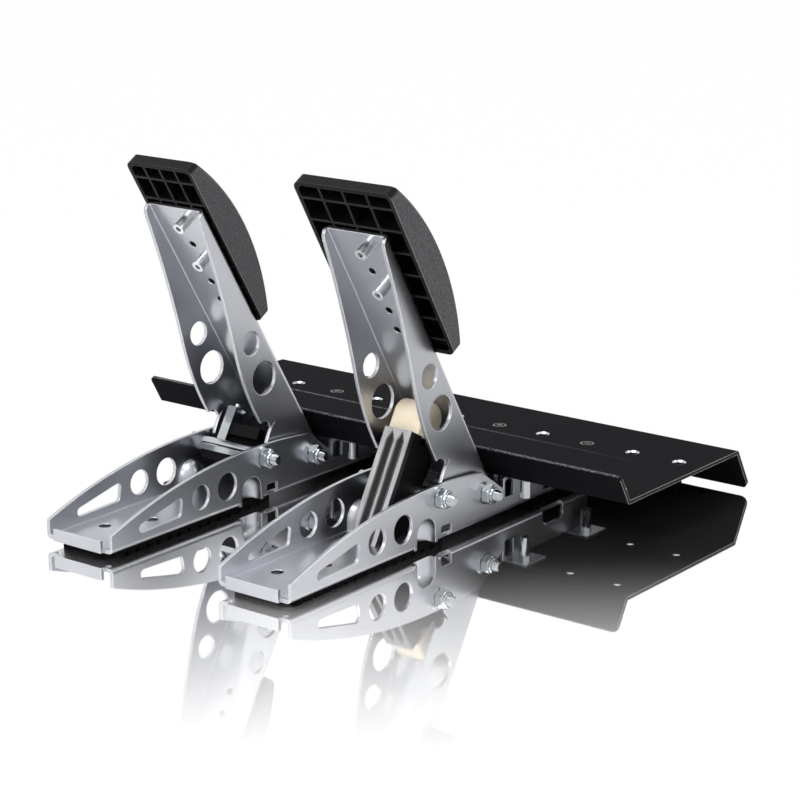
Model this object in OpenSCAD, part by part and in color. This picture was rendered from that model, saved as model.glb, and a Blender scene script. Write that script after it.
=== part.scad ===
// Two-pedal foot controller: two pressed-steel bases, a bent heel plate, a throttle and a brake.
// Millimetres. +X is to the driver's right, +Y points away from the driver, +Z is up, floor at z = 0.

/* [Layout] */
// Distance between the two pedals' centre planes
pedal_pitch = 120; // [110:10:180]
// Width of the heel plate
plate_w = 330; // [310:10:420]
// Thickness of the rubber feet under the bases
foot_h = 4; // [3:0.5:6]
// Thickness of the pressed steel
sheet_t = 2; // [1.5:0.25:2.25]

/* [Bases] */
// Outside width of each base channel
base_w = 47; // [45:1:60]
// Front edge of the side walls, measured from the middle of the object
wall_front = 150; // [145:1:160]
// Rear end of the base channels
base_rear = -111; // [-120:1:-110]
// Height of the wall's highest point above the base's underside
crest_h = 30.6; // [30:0.2:33]
// Radius of the walls' curved top edge
crest_r = 340; // [300:10:420]
// Width of the turned-up lip at the front
lip_w = 34; // [28:1:36]
// Height of the turned-up lip
lip_h = 6.7; // [5:0.1:8]
// Height of the tabs that carry the heel plate
tab_h = 21.6; // [21:0.2:23]
// Distance from a barrel's middle to its tab's end
tab_end = 7.5; // [6:0.5:9]
// Diameter of the threaded barrels under the tabs
barrel_d = 6.2; // [5.8:0.2:7.4]
// Diameter of the front lightening hole in the wall
hole_front_d = 14; // [10:0.5:15]
// Diameter of the rear lightening hole in the wall
hole_rear_d = 15.5; // [10:0.5:16]
// Width of the clamp pocket pressed into each wall
pocket_w = 16; // [12:1:16]
// Diameter of the floor mounting holes
floor_hole_d = 6.5; // [5.5:0.5:8]

/* [Pivots and stops] */
// Pivot height above the base's underside
pivot_h = 15.8; // [15.6:0.1:16.5]
// Pivot place along the base
pivot_y = -11; // [-12:0.5:-10]
// Stop bolt's place in front of the pivot
stop_dy = 41.2; // [40:0.2:43]
// Stop bolt's height above the pivot
stop_dz = 7.9; // [7:0.1:8.4]
// Thread size of the cross bolts
bolt_d = 6; // [5:0.5:6]
// Outside diameter of the sleeves on the cross bolts
sleeve_d = 9; // [8.5:0.25:9.5]
// Radial running clearance of the bushes on the pivot sleeve
run_gap = 0.04; // [0.02:0.01:0.08]

/* [Arms] */
// Backward lean of the throttle arm from upright, in degrees
throttle_lean = 31.7; // [31:0.1:32.5]
// Backward lean of the brake arm from upright, in degrees
brake_lean = 30.7; // [30:0.1:31.5]
// Lean of an arm whose notch has closed on the stop sleeve
stop_lean = 51.7; // [51:0.1:52.5]
// Outside width of each arm channel
arm_w = 40.2; // [39:0.2:40.4]
// Length of each arm above the pivot
arm_len = 171.4; // [168:0.2:175]
// Distance of the web's back face behind the pivot
web_back = 11.5; // [11.3:0.1:12]
// Distance of the flanges' front edge before the pivot, at its widest
flange_front = 19.4; // [18:0.2:20]
// Diameter of the arm's upper lightening hole
arm_hole_up_d = 13.5; // [10:0.5:15]
// Diameter of the arm's lower lightening hole
arm_hole_low_d = 19; // [15:0.5:20]

/* [Pads] */
// Width of the brake pad
brake_pad_w = 62.5; // [55:0.5:75]
// Width of the throttle pad
throttle_pad_w = 46; // [42:0.5:55]
// Height of both pads
pad_h = 107; // [98:1:110]
// Thickness of the pads in the middle
pad_t = 18.6; // [16:0.2:20]
// Thickness of the pads at their two ends
pad_end_t = 6.2; // [5:0.2:8]
// Thickness of the pad's ribs
rib_t = 1.2; // [1:0.1:2]
// Distance between the pad's cross ribs
rib_pitch = 14.4; // [13:0.1:14.6]
// Thickness of the pad's skin and rim
pad_skin = 2.4; // [1.8:0.1:3]

/* [Heel plate] */
// Distance of the front hole row behind the middle
row_front = 40; // [39:0.5:41]
// Distance between the two hole rows
row_gap = 60; // [58:1:61]
// Height of the front flange along its slope
flange_up = 17.9; // [14:0.1:18.4]
// Slope of both flanges from upright, in degrees
flange_slope = 30; // [28:1:32]
// Distance of the front bend behind the middle
bend_front = 26.3; // [25.5:0.1:27]
// Distance of the rear bend behind the middle
bend_rear = 137.5; // [134:0.5:140]

/* [Damper and return spring] */
// Width of the brake's damper column
column_w = 17.5; // [15:0.5:20]
// Sideways place of the column in its base
column_x = 2.2; // [-4:0.2:4]
// Width of the elastomer bumper
bumper_w = 20; // [17:0.5:24]
// Radius of the bumper's domed top
bumper_r = 9; // [8:0.25:9.5]
// Gap between a resting web and what it pushes on
rest_gap = 0.35; // [0.3:0.05:0.6]
// Diameter of the throttle's return plunger
plunger_d = 8; // [7:0.5:8.5]
// Wire of the throttle's return spring
wire_d = 1; // [0.8:0.1:1.1]

/* [Hidden] */
$fn = 64;
base_z = foot_h;
half = pedal_pitch / 2;
hole_pitch = pedal_pitch / 4;
inner_w = base_w - 2 * sheet_t;
pivot_z = base_z + pivot_h;
stop_y = pivot_y + stop_dy;
stop_z = pivot_z + stop_dz;
sleeve_len = inner_w - 0.1;
shank_d = bolt_d - 0.1;
shank_hole_d = bolt_d + 0.4;
crest_y = 34;
step_y = -28;
step_h = 14;
wall_slope = 35.5;
tab_len = 19;
barrel_x = hole_pitch;
tab_out = barrel_x + tab_end - base_w / 2;
rows = [-row_front, -row_front - row_gap];
strip_h = tab_h - sheet_t;
barrel_low = 7.4;
pocket_y = 40.6;
pocket_h = 14.8;
notch_y = 23.3;
floor_holes = [[8.8, 122], [-3.9, 99], [8.8, -76]];
web_in = web_back - sheet_t;
arm_in = arm_w - 2 * sheet_t;
notch_r = sleeve_d / 2 + 0.5;
stop_reach = sqrt(stop_dy * stop_dy + stop_dz * stop_dz);
low_r = stop_reach - sleeve_d / 2 - 0.8;
notch_u = stop_dy * sin(stop_lean) + stop_dz * cos(stop_lean);
notch_v = stop_dy * cos(stop_lean) - stop_dz * sin(stop_lean);
bush_d = sleeve_d + 3.4;
bush_flange_d = bush_d + 4;
side_gap = (inner_w - arm_w) / 2;
bush_flange_t = side_gap - 0.3;
end_r = 12.6;
bend_u = 45;
lower_r = 150;
upper_r = 594;
turn_u = 88;
turn_v = flange_front - lower_r + sqrt(lower_r * lower_r - (turn_u - bend_u) * (turn_u - bend_u));
turn_sin = (turn_u - bend_u) / lower_r;
turn_cos = sqrt(1 - turn_sin * turn_sin);
pad_mid = arm_len - 26.4;
screw_x = -7;
screw_u = [arm_len - 5.9, arm_len - 32.7];
web_hole_u = [arm_len - 25.9, arm_len - 52.7, arm_len - 66];
pad_r = ((pad_h / 2) * (pad_h / 2) + (pad_t - pad_end_t) * (pad_t - pad_end_t)) / (2 * (pad_t - pad_end_t));
plate_z = base_z + tab_h + sheet_t / 2;
rear_drop = (plate_z - sheet_t / 2 - 2.6) / cos(flange_slope);
plate_holes = floor((plate_w / 2 - 9) / hole_pitch);
csk_d = 7.8;
csk_hole_d = 4.4;
face_y = 30.8;
face_z = base_z + 57;
face_lean = 30;
face_t = 3.2;
column_d = 24;
bumper_back = 13;
web_dist = web_gap(brake_lean);
bumper_s = (web_dist - bumper_r - rest_gap - bumper_back * cos(face_lean + brake_lean))
  / sin(face_lean + brake_lean);
plunger_x = -4;
plunger_u = 17;
nose_r = plunger_d / 2;
nose = [pivot_y + plunger_u * sin(throttle_lean) - (web_in - nose_r - rest_gap) * cos(throttle_lean),
        pivot_z + plunger_u * cos(throttle_lean) + (web_in - nose_r - rest_gap) * sin(throttle_lean)];
mouth_a = 6.5;
house_len = 26;
house_w = 24;
spring_turns = 5;

// Distance from the column's top edge to the resting web, along the web's normal
function web_gap(lean) =
  (face_y - pivot_y) * cos(lean) - (face_z - pivot_z) * sin(lean) + web_in;

// A convex outline, points anticlockwise, with its corners rounded outwards by r
module round_poly(pts, r) {
  n = len(pts);
  for (p = pts) translate(p) circle(r = r);
  polygon([for (i = [0 : n - 1]) let (a = pts[i], b = pts[(i + 1) % n], d = b - a,
    q = [d[1], -d[0]] / norm(d) * r) each [a + q, b + q]]);
}

// A YZ outline drawn in 2D, made w thick along X about the middle plane
module prism_x(w) {
  rotate([90, 0, 90]) linear_extrude(w, center = true) children();
}

module rod_x(d, x0, x1) {
  translate([x0, 0, 0]) rotate([0, 90, 0]) cylinder(d = d, h = x1 - x0);
}

// A channel section: bent sheet with rounded outside corners, open at the top
module channel_2d(w, h, t, bend) {
  difference() {
    round_poly([[-w / 2 + bend, bend], [w / 2 - bend, bend], [w / 2 - bend, h], [-w / 2 + bend, h]], bend);
    translate([0, t]) round_poly([[-w / 2 + t + 0.6, 0.6], [w / 2 - t - 0.6, 0.6], [w / 2 - t - 0.6, h + 9],
      [-w / 2 + t + 0.6, h + 9]], 0.6);
  }
}

// The base wall seen from the side, before its cut-outs
module wall_2d() {
  intersection() {
    translate([crest_y, crest_h - crest_r]) circle(r = crest_r, $fn = 360);
    polygon([[wall_front, -1], [wall_front, 60], [step_y + (60 - step_h) / tan(wall_slope), 60],
      [step_y, step_h], [step_y - 6, step_h], [step_y - 6, -1]]);
  }
  translate([base_rear, 0]) square([rows[0] + tab_len / 2 + 2 - base_rear, strip_h]);
}

// What is cut out of both walls
module wall_cuts_2d() {
  round_poly([[127, 8.6], [98.6, 14.6], [99.4, 9.4]], 2.5);
  translate([81.7, 13.6]) circle(d = hole_front_d);
  translate([60.2, 14.3]) circle(d = hole_rear_d);
  round_poly([[notch_y - 3.2, -3], [notch_y + 3.2, -3], [notch_y + 3.2, 6], [notch_y - 3.2, 6]], 1.2);
  round_poly([[-36.9, 9.7], [-31.4, 9.7], [-31.4, 16.6], [-36.9, 16.6]], 1.3);
  round_poly([[-82, -5], [-71, -5], [-71, 5.5], [-82, 5.5]], 4.5);
  translate([stop_y, stop_z - base_z]) circle(d = shank_hole_d);
  translate([pivot_y, pivot_h]) circle(d = shank_hole_d);
}

module pocket_form(r) {
  translate([0, 0, -1]) cylinder(r = r, h = pocket_h - pocket_w / 2 + 1);
  translate([0, 0, pocket_h - pocket_w / 2]) sphere(r = r);
}

module base_shell() {
  translate([0, 0, base_z]) difference() {
    union() {
      difference() {
        intersection() {
          translate([0, wall_front, 0]) rotate([90, 0, 0])
            linear_extrude(wall_front - base_rear) channel_2d(base_w, 60, sheet_t, 2.6);
          prism_x(base_w + 4) wall_2d();
        }
        for (s = [-1, 1]) translate([s * (base_w / 2), 0, 0]) prism_x(2 * sheet_t + 0.02) wall_cuts_2d();
      }
      translate([-lip_w / 2, wall_front - 3, 0]) cube([lip_w, 3 + sheet_t, sheet_t]);
      translate([-lip_w / 2, wall_front, 0]) cube([lip_w, sheet_t, lip_h]);
      for (s = [-1, 1], y = rows)
        translate([s * (base_w / 2 - sheet_t + (tab_out + sheet_t) / 2), y, strip_h + sheet_t / 2])
          cube([tab_out + sheet_t, tab_len, sheet_t], center = true);
      for (s = [-1, 1]) intersection() {
        translate([s * base_w / 2, pocket_y, 0]) pocket_form(pocket_w / 2 + sheet_t);
        translate([s * (base_w / 2 - 10), pocket_y, 15]) cube([20, 40, 30], center = true);
      }
    }
    for (s = [-1, 1]) translate([s * base_w / 2, pocket_y, 0]) pocket_form(pocket_w / 2);
    for (s = [-1, 1]) translate([s * (lip_w / 2 + 1.2), wall_front - 2.4, -1]) cylinder(d = 3.6, h = 4.5);
    for (s = [-1, 1], y = rows) translate([s * barrel_x, y, strip_h - 1]) cylinder(d = barrel_d + 0.06, h = 5);
    for (p = floor_holes) translate([p[0], p[1], -1]) cylinder(d = floor_hole_d, h = 4.5);
  }
}

module barrels() {
  for (s = [-1, 1], y = rows) translate([s * barrel_x, y, base_z + barrel_low]) difference() {
    cylinder(d = barrel_d, h = tab_h - barrel_low);
    translate([0, 0, -1]) cylinder(d = 4.1, h = 40);
  }
}

// Ribbed rubber feet, one long and one short, with wells for the mounting screws
module feet() {
  difference() {
    for (span = [[22, wall_front - 8], [base_rear + 3, -62]])
      translate([-base_w / 2 + 3.5, span[0], 0]) cube([base_w - 7, span[1] - span[0], foot_h]);
    for (y = [30 : 8 : wall_front - 14]) translate([-base_w, y, -1]) cube([2 * base_w, 3, 2.2]);
    for (y = [-104, -96, -88, -66]) translate([-base_w, y, -1]) cube([2 * base_w, 3, 2.2]);
    for (p = floor_holes) translate([p[0], p[1], -1]) cylinder(d = floor_hole_d + 5, h = 20);
  }
}

module bolt() {
  rod_x(shank_d, -base_w / 2 - 10.6, base_w / 2 + 1.3);
  translate([base_w / 2 + 1.2, 0, 0]) rotate([0, 90, 0]) intersection() {
    cylinder(d = 10 / cos(30), h = 4, $fn = 6);
    rotate_extrude() polygon([[0, 0], [6, 0], [6, 3], [4.6, 4], [0, 4]]);
  }
}

module nut() {
  translate([-base_w / 2 - 1.2, 0, 0]) rotate([0, -90, 0]) difference() {
    union() {
      intersection() {
        cylinder(d = 10 / cos(30), h = 4.6, $fn = 6);
        rotate_extrude() polygon([[0, 0], [5, 0], [6, 0.8], [6, 3.8], [4.8, 4.6], [0, 4.6]]);
      }
      cylinder(d = 8.6, h = 6);
    }
    translate([0, 0, -1]) cylinder(d = shank_d + 0.04, h = 10);
  }
}

module washers() {
  for (s = [-1, 1]) translate([s * (base_w / 2 + 0.6), 0, 0]) rotate([0, 90, 0]) difference() {
    cylinder(d = 12, h = 1.2, center = true);
    cylinder(d = shank_hole_d, h = 3, center = true);
  }
}

module at_cross() {
  for (p = [[pivot_y, pivot_z], [stop_y, stop_z]]) translate([0, p[0], p[1]]) children();
}

module sleeve(x0, x1) {
  difference() {
    rod_x(sleeve_d, x0, x1);
    rod_x(shank_hole_d, x0 - 1, x1 + 1);
  }
}

// Heel plate: a sheet bent up at the front and down at the rear
front_top = [-bend_front + flange_up * sin(flange_slope), plate_z + flange_up * cos(flange_slope)];
rear_low = [-bend_rear - rear_drop * sin(flange_slope), plate_z - rear_drop * cos(flange_slope)];

module sheet_line(a, b) {
  round_poly([a, b], sheet_t / 2);
}

// Rounds one corner of a sloping flange; p is the flange's free edge
module corner_cut(p, sx, up, r) {
  translate([sx * plate_w / 2, p[0], p[1]]) rotate([-flange_slope, 0, 0])
    translate([-sx * r, 0, -up * (r - sheet_t / 2)]) difference() {
      translate([sx * (r / 2 + 1), 0, up * (r / 2 + 1)]) cube([r + 2, 20, r + 2], center = true);
      rotate([90, 0, 0]) cylinder(r = r, h = 30, center = true);
    }
}

module heel_plate_body() {
  difference() {
    prism_x(plate_w) {
      sheet_line(front_top, [-bend_front, plate_z]);
      sheet_line([-bend_front, plate_z], [-bend_rear, plate_z]);
      sheet_line([-bend_rear, plate_z], rear_low);
    }
    for (i = [-plate_holes : plate_holes], y = rows)
      translate([i * hole_pitch, y, plate_z - sheet_t / 2]) {
        translate([0, 0, -1]) cylinder(d = csk_hole_d, h = 5);
        translate([0, 0, sheet_t - 1.7]) cylinder(d1 = csk_hole_d, d2 = csk_d, h = 1.7);
        translate([0, 0, sheet_t]) cylinder(d = csk_d, h = 1);
      }
    for (s = [-1, 1]) {
      corner_cut(front_top, s, 1, 4);
      corner_cut(rear_low, s, -1, 5);
    }
  }
}

module plate_screws() {
  for (x = [-1, 1], s = [-1, 1], y = rows)
    translate([x * half + s * barrel_x, y, plate_z + sheet_t / 2 - 0.1]) difference() {
      union() {
        translate([0, 0, -1.7]) cylinder(d1 = 3.9, d2 = csk_d - 0.3, h = 1.7);
        translate([0, 0, -15]) cylinder(d = 3.9, h = 13.4);
      }
      translate([0, 0, -1.3]) cylinder(d = 2.5 / cos(30), h = 2, $fn = 6);
    }
}

// Rubber shoes under the heel plate's rear edge
module plate_shoes() {
  difference() {
    for (x = [-1, 1]) translate([x * (plate_w / 2 - 55), rear_low[0] + 2.5, 4.6]) cube([22, 7, 9.2], center = true);
    prism_x(plate_w + 2) {
      sheet_line([-bend_rear, plate_z], rear_low);
      polygon([rear_low, [-bend_rear, plate_z], [-bend_rear - 40, plate_z], [rear_low[0] - 40, rear_low[1]]]);
    }
  }
}

module at_pivot(lean) {
  translate([0, pivot_y, pivot_z]) rotate([-lean, 0, 0]) children();
}

// One side of an arm, drawn with the pivot at the origin and the web to the left
module flange_2d() {
  difference() {
    union() {
      difference() {
        translate([-web_back, turn_u - 0.01]) square([web_back + turn_v, arm_len - turn_u]);
        translate([turn_v + upper_r * turn_cos, turn_u + upper_r * turn_sin]) circle(r = upper_r, $fn = 720);
      }
      intersection() {
        translate([flange_front - lower_r, bend_u]) circle(r = lower_r, $fn = 360);
        translate([-web_back, notch_u - 2]) square([web_back + flange_front, turn_u - notch_u + 2]);
      }
      intersection() {
        circle(r = low_r, $fn = 128);
        polygon([[-web_back, 0], [end_r, 0], [23, 29], [23, 44], [-web_back, 44]]);
      }
      intersection() {
        circle(r = end_r);
        translate([-web_back, -30]) square([60, 60]);
      }
    }
    translate([notch_v, notch_u]) circle(r = notch_r);
    translate([0.8, arm_len / 2]) circle(d = arm_hole_up_d);
    translate([3.4, arm_len / 2 - 23.5]) circle(d = arm_hole_low_d);
    circle(d = bush_d + 0.04);
    difference() {
      translate([-9.5, arm_len - 4.5]) square([12, 12]);
      translate([-9.5, arm_len - 4.5]) circle(r = 4.5);
    }
  }
}

module arm() {
  difference() {
    intersection() {
      translate([0, -web_back, -end_r - 1]) rotate([0, 0, 0])
        linear_extrude(arm_len + end_r + 2) channel_2d(arm_w, 60, sheet_t, 3);
      prism_x(arm_w + 2) flange_2d();
    }
    translate([-arm_in / 2, -web_back - 1, -30]) cube([arm_in, 6, 26]);
    for (u = screw_u) translate([screw_x, -web_back - 2, u]) rotate([-90, 0, 0]) cylinder(d = 4.4, h = 6);
    for (u = web_hole_u) translate([0, -web_back - 2, u]) rotate([-90, 0, 0]) cylinder(d = 4.2, h = 6);
  }
}

module bushes() {
  for (s = [0, 1]) mirror([s, 0, 0]) difference() {
    union() {
      rod_x(bush_d, arm_w / 2 - sheet_t - 2.5, arm_w / 2);
      rod_x(bush_flange_d, arm_w / 2, arm_w / 2 + bush_flange_t);
    }
    rod_x(sleeve_d + 2 * run_gap, 0, base_w);
  }
}

// Pad: curved skin and rim with a grid of ribs, open at the back
module pad_outline(w, inset, r) {
  rotate([90, 0, 0]) linear_extrude(pad_t + 2)
    round_poly([[-w / 2 + r + inset, -pad_h / 2 + r + inset], [w / 2 - r - inset, -pad_h / 2 + r + inset],
      [w / 2 - r - inset, pad_h / 2 - r - inset], [-w / 2 + r + inset, pad_h / 2 - r - inset]], r);
}

module pad_drum(w, r, c) {
  translate([0, pad_r - pad_t, 0]) rotate([0, 90, 0])
    rotate_extrude($fn = 256) polygon([[0, -w / 2], [r - c, -w / 2], [r, -w / 2 + c], [r, w / 2 - c],
      [r - c, w / 2], [0, w / 2]]);
}

module pad(w) {
  cols = 4;
  side_ribs = 3;
  col_p = (w - pad_skin) / cols;
  translate([0, -web_back, pad_mid]) difference() {
    intersection() {
      pad_outline(w, 0, 5);
      pad_drum(w, pad_r, 1.4);
    }
    difference() {
      intersection() {
        translate([0, 1, 0]) pad_outline(w, pad_skin, 3);
        pad_drum(w + 2, pad_r - pad_skin, 0.5);
      }
      for (i = [1 : cols - 1]) translate([(i - cols / 2) * col_p - rib_t / 2, -pad_t, -pad_h / 2])
        cube([rib_t, pad_t, pad_h]);
      for (j = [-side_ribs : side_ribs]) translate([-w / 2, -pad_t, j * rib_pitch - rib_t / 2])
        cube([w, pad_t, rib_t]);
      for (u = screw_u) translate([screw_x, 0, u - pad_mid]) rotate([90, 0, 0]) cylinder(d = 9, h = pad_t);
    }
    for (u = screw_u) translate([screw_x, 1, u - pad_mid]) rotate([90, 0, 0]) cylinder(d = 4.1, h = 9);
  }
}

// Tall cylindrical-headed screws that stand out of the web's front face
module pad_screws() {
  for (u = screw_u) translate([screw_x, -web_in, u]) rotate([-90, 0, 0]) difference() {
    union() {
      cylinder(d = 6.6, h = 9.4);
      translate([0, 0, -sheet_t - 7]) cylinder(d = 3.9, h = sheet_t + 7.1);
    }
    translate([0, 0, 6.4]) cylinder(d = 3 / cos(30), h = 4, $fn = 6);
  }
}

module magnet(x, u) {
  translate([x, -web_in, u]) rotate([-90, 0, 0]) cylinder(d = 8, h = 2.4);
}

// V-grooves in the column's face, which run out to a point below its top edge
groove_r = 2.7;
groove_end = 6.4;

// Column frame: origin on the front face's top edge, z up the column, y out of the face
module at_face() {
  translate([0, face_y, face_z]) rotate([face_lean, 0, 0]) children();
}

module column() {
  low = (face_z - base_z - sheet_t) / cos(face_lean);
  difference() {
    intersection() {
      at_face() translate([-column_w / 2, -column_d, -low - 20]) cube([column_w, column_d - face_t, low + 20]);
      translate([-50, -50, base_z + sheet_t]) cube([100, 200, 200]);
    }
    translate([0, stop_y, stop_z]) rod_x(shank_hole_d, -30, 30);
    at_face() translate([-bumper_w, -bumper_back - 3, -4]) cube([2 * bumper_w, 6, 5]);
  }
}

module column_face() {
  low = (face_z - base_z - sheet_t) / cos(face_lean);
  intersection() {
    at_face() difference() {
      translate([-column_w / 2, -face_t, -low - 20]) cube([column_w, face_t, low + 20]);
      for (s = [-1, 1]) translate([s * column_w / 5.3, 0, -groove_end]) {
        translate([0, 0, -low - 21]) cylinder(r = groove_r, h = low + 21.01, $fn = 4);
        cylinder(r1 = groove_r, r2 = 0, h = groove_end - 0.6, $fn = 4);
      }
    }
    translate([-50, -50, base_z + sheet_t]) cube([100, 200, 200]);
  }
}

module bumper() {
  at_face() {
    prism_x(bumper_w) {
      translate([-bumper_back, bumper_s]) circle(r = bumper_r);
      translate([-bumper_back - bumper_r, 0]) square([2 * bumper_r, bumper_s]);
    }
    translate([-column_w / 2, -bumper_back - 2.9, -3.9]) cube([column_w, 5.8, 4]);
  }
}

sensor_w = 20;
magnet_x = 2;

module sensor_block(w, h) {
  difference() {
    translate([-w / 2, -5, -h]) cube([w, 5, h]);
    translate([-w / 2 + 2, -5.5, 2 - h]) cube([w - 4, 1.5, h - 4]);
  }
}

// Plunger frame: origin at the nose's centre, y along the plunger into its housing
module at_nose() {
  translate([plunger_x, nose[0], nose[1]]) rotate([-throttle_lean, 0, 0]) children();
}

module plunger() {
  at_nose() {
    sphere(r = nose_r);
    rotate([-90, 0, 0]) cylinder(r = nose_r, h = mouth_a + 8);
  }
}

// Black housing: a clamp bar on the stop sleeve, a foot on the base's floor and the plunger's barrel
clamp_w = 35;
clamp_top = 2.8;
clamp_front = 5.5;

module housing() {
  difference() {
    union() {
      at_nose() translate([-house_w / 2, mouth_a, -7]) cube([house_w, house_len, 14]);
      translate([-clamp_w / 2, stop_y - 11, stop_z - 5.8]) cube([clamp_w, 11 + clamp_front, 5.8 + clamp_top]);
      translate([plunger_x - house_w / 2 + 1, 11, base_z + sheet_t]) cube([house_w - 2, 17, 18]);
    }
    at_nose() rotate([-90, 0, 0]) cylinder(d = plunger_d + 0.1, h = mouth_a + house_len - 2.4);
    translate([0, stop_y, stop_z]) rod_x(sleeve_d + 0.04, -40, 40);
    for (y = [-1.6, 2.2]) translate([-clamp_w, stop_y + y, stop_z + clamp_top - 0.9]) cube([2 * clamp_w, 1.3, 3]);
  }
}

module clamp_strip() {
  translate([-clamp_w / 2, stop_y + clamp_front, stop_z - 0.6]) cube([clamp_w, 1.2, clamp_top + 0.6]);
}

// Return spring behind the plunger: one closed tube of wire, six sided
module coil(turns, rad, wire, len) {
  per = 8;
  n = turns * per;
  ring = [for (i = [0 : n]) for (j = [0 : 5]) let (a = 360 * i / per, q = 60 * j,
    r = rad + wire / 2 * cos(q)) [r * cos(a), r * sin(a), len * i / n + wire / 2 * sin(q)]];
  sides = [for (i = [0 : n - 1]) for (j = [0 : 5]) let (k = (j + 1) % 6)
    each [[i * 6 + j, i * 6 + k, i * 6 + 6 + j], [i * 6 + k, i * 6 + 6 + k, i * 6 + 6 + j]]];
  polyhedron(points = ring, faces = concat([for (f = sides) [f[2], f[1], f[0]]], [[0, 1, 2, 3, 4, 5],
    [for (j = [5 : -1 : 0]) n * 6 + j]]));
}

spring_room = house_len - 2.4 - 8;
spring_len = spring_room - wire_d - 1;
echo(least_gap_between_curls = spring_len / spring_turns - wire_d);

// Frame of the bracket's leaning front face; the bracket stands on the clamp bar and carries the sensor
block_w = 6;
block_d = 9;
block_x = 8.5;

module at_flange() {
  translate([0, 19.9, base_z + 36.4]) rotate([32, 0, 0]) children();
}

module bracket() {
  intersection() {
    at_flange() {
      translate([block_x, -block_d, -20]) cube([block_w, block_d, 28.5]);
      translate([block_x + block_w / 2, -block_d / 2, 8]) cylinder(d = 4.2, h = 2.6);
    }
    translate([0, -20, stop_z + clamp_top]) cube([40, 80, 60]);
  }
}

module place(s) {
  translate([s * half, 0, 0]) children();
}

steel_dark = [0.13, 0.13, 0.14];
steel_satin = [0.66, 0.67, 0.7];
zinc = [0.75, 0.77, 0.78];
rubber = [0.05, 0.05, 0.05];
plastic = [0.07, 0.07, 0.08];

color(steel_satin) place(1) base_shell();  // throttle_base
color(steel_satin) place(-1) base_shell();  // brake_base
color(steel_dark) heel_plate_body();  // heel_plate
color(steel_dark) plate_screws();  // heel_plate_screws
color(rubber) plate_shoes();  // heel_plate_feet
color(zinc) place(1) barrels();  // throttle_barrels
color(zinc) place(-1) barrels();  // brake_barrels
color(rubber) place(1) feet();  // throttle_feet
color(rubber) place(-1) feet();  // brake_feet
color(zinc) place(1) at_cross() bolt();  // throttle_bolts
color(zinc) place(-1) at_cross() bolt();  // brake_bolts
color(zinc) place(1) at_cross() nut();  // throttle_nuts
color(zinc) place(-1) at_cross() nut();  // brake_nuts
color(zinc) place(1) at_cross() washers();  // throttle_washers
color(zinc) place(-1) at_cross() washers();  // brake_washers
color(zinc) place(1) at_cross() sleeve(-sleeve_len / 2, sleeve_len / 2);  // throttle_sleeves
color(zinc) place(-1) translate([0, pivot_y, pivot_z])  // brake_pivot_sleeve
  sleeve(-sleeve_len / 2, sleeve_len / 2);
color(zinc) place(-1) translate([0, stop_y, stop_z]) {  // brake_column_spacers
  sleeve(column_x + column_w / 2, sleeve_len / 2);
  sleeve(-sleeve_len / 2, column_x - column_w / 2);
}
color(plastic) place(-1) translate([column_x, 0, 0]) column();  // brake_column
color(zinc) place(-1) translate([column_x, 0, 0]) column_face();  // brake_column_face
color([0.9, 0.8, 0.65]) place(-1) translate([column_x, 0, 0]) bumper();  // brake_bumper
color(plastic) place(-1) at_face()  // brake_sensor
  translate([column_x, -column_d, -8]) sensor_block(12, 10);
color(plastic) place(1) housing();  // throttle_housing
color(zinc) place(1) clamp_strip();  // throttle_strip
color(zinc) place(1) bracket();  // throttle_bracket
color(plastic) place(1)  // throttle_sensor
  at_flange() translate([block_x - sensor_w / 2, -1.6, -0.4]) sensor_block(sensor_w, 6.6);
color(zinc) place(1) plunger();  // throttle_plunger
color(zinc) place(1) at_nose()  // throttle_spring
  translate([0, mouth_a + 8 + wire_d / 2 + 0.5, 0]) rotate([-90, 0, 0])
  coil(spring_turns, plunger_d / 2 - wire_d / 2 - 0.3, wire_d, spring_len);
color(steel_satin) place(1) at_pivot(throttle_lean) arm();  // throttle_arm
color(plastic) place(1) at_pivot(throttle_lean) bushes();  // throttle_bushes
color(plastic) place(1) at_pivot(throttle_lean) pad(throttle_pad_w);  // throttle_pad
color(zinc) place(1) at_pivot(throttle_lean) pad_screws();  // throttle_pad_screws
color(steel_dark) place(1) at_pivot(throttle_lean) magnet(magnet_x, 30);  // throttle_magnet
color(steel_satin) place(-1) at_pivot(brake_lean) arm();  // brake_arm
color(plastic) place(-1) at_pivot(brake_lean) bushes();  // brake_bushes
color(plastic) place(-1) at_pivot(brake_lean) pad(brake_pad_w);  // brake_pad
color(zinc) place(-1) at_pivot(brake_lean) pad_screws();  // brake_pad_screws
color(steel_dark) place(-1) at_pivot(brake_lean) magnet(column_x, 24);  // brake_magnet
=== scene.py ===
# %% [markdown]
# # A two-pedal foot controller for a driving rig
#
# The part is a throttle and a brake on two pressed-steel bases, joined by a black heel plate.
# Its solids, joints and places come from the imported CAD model, which is loaded here as a fixed frame.
# This lesson adds what the solids don't hold: finishes, threads, a moulded elastomer and a wound spring.
# All lengths are metres, in the CAD model's own axes: +Y points away from the driver and +Z is up.

# %% Load the frame
import math

import bmesh
import bpy
from mathutils import Matrix, Vector


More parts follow.
